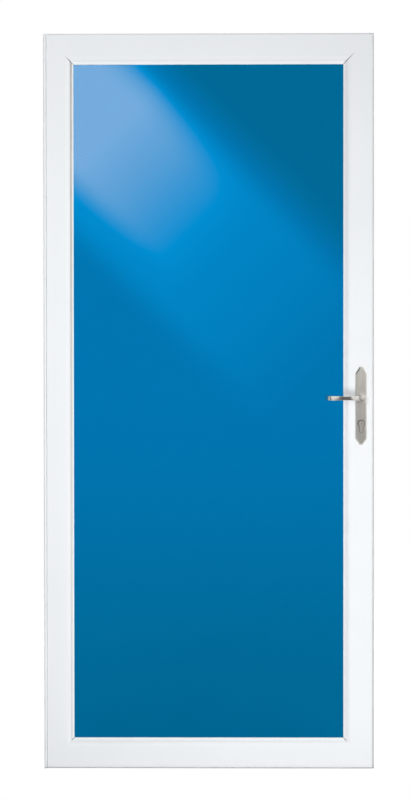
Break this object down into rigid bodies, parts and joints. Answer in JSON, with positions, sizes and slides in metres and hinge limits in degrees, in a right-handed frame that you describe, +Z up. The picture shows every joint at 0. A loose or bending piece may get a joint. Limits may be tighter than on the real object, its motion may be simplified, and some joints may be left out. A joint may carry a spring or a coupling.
{
  "type": "aluminium storm door",
  "caption": "White full-view aluminium storm door: mitred hollow frame, blue glass, continuous hinge, surround rails and a lever lock set on long pointed plates.",
  "frame": {"origin": "on the wall-side face of the hinge rail, at the middle of the leaf's thickness and level with the leaf's lower edge", "axes": "+X from the hinge side to the lock side seen from outside, +Y into the house, +Z up"},
  "size_m": [0.9132, 0.135, 2.035],
  "materials": {
    "white_enamel": "satin",
    "white_vinyl": "satin",
    "grey_seal": "matte",
    "blue_glass": "gloss",
    "brushed_nickel": "satin",
    "lock_steel": "satin"
  },
  "bodies": {
    "surround": {"hinge_rail": "white_enamel", "latch_rail": "white_enamel", "head_rail": "white_enamel", "hinge_seal": "grey_seal", "latch_seal": "grey_seal", "head_seal": "grey_seal", "strike_plate": "lock_steel", "hinge_frame_leaf": "white_enamel", "hinge_pin": "lock_steel"},
    "leaf": {"hinge_stile": "white_enamel", "lock_stile": "white_enamel", "top_rail": "white_enamel", "bottom_rail": "white_enamel", "bead_hinge": "white_enamel", "bead_lock": "white_enamel", "bead_top": "white_enamel", "bead_bottom": "white_enamel", "sill_channel": "white_enamel", "hinge_door_leaf": "white_enamel", "outer_gasket": "white_vinyl", "inner_gasket": "white_vinyl", "sill_sweep": "grey_seal", "glass_pane": "blue_glass", "outside_plate": "brushed_nickel", "inside_plate": "brushed_nickel", "outside_rose": "brushed_nickel", "inside_rose": "brushed_nickel", "lock_cylinder": "brushed_nickel", "lock_case": "lock_steel", "lock_faceplate": "lock_steel", "latch_bolt": "lock_steel", "deadbolt": "lock_steel"},
    "lever_set": {"outside_lever": "brushed_nickel", "inside_lever": "brushed_nickel", "spindle": "lock_steel"},
    "lock_barrel": {"key_plug": "brushed_nickel", "thumb_turn": "brushed_nickel"}
  },
  "joints": [
    {"name": "leaf_swing", "type": "hinge", "parent": "surround", "child": "leaf", "pos_m": [0.0034, -0.014, 0], "axis": [0, 0, -1], "range_deg": [0, 110]},
    {"name": "lever_turn", "type": "hinge", "parent": "leaf", "child": "lever_set", "pos_m": [0.8764, 0, 1.0256], "axis": [0, -1, 0], "range_deg": [0, 35], "stiffness_Nm_per_rad": 0.8, "springref_deg": -28.65},
    {"name": "lock_turn", "type": "hinge", "parent": "leaf", "child": "lock_barrel", "pos_m": [0.8764, 0, 0.9556], "axis": [0, -1, 0], "range_deg": [0, 90]}
  ]
}
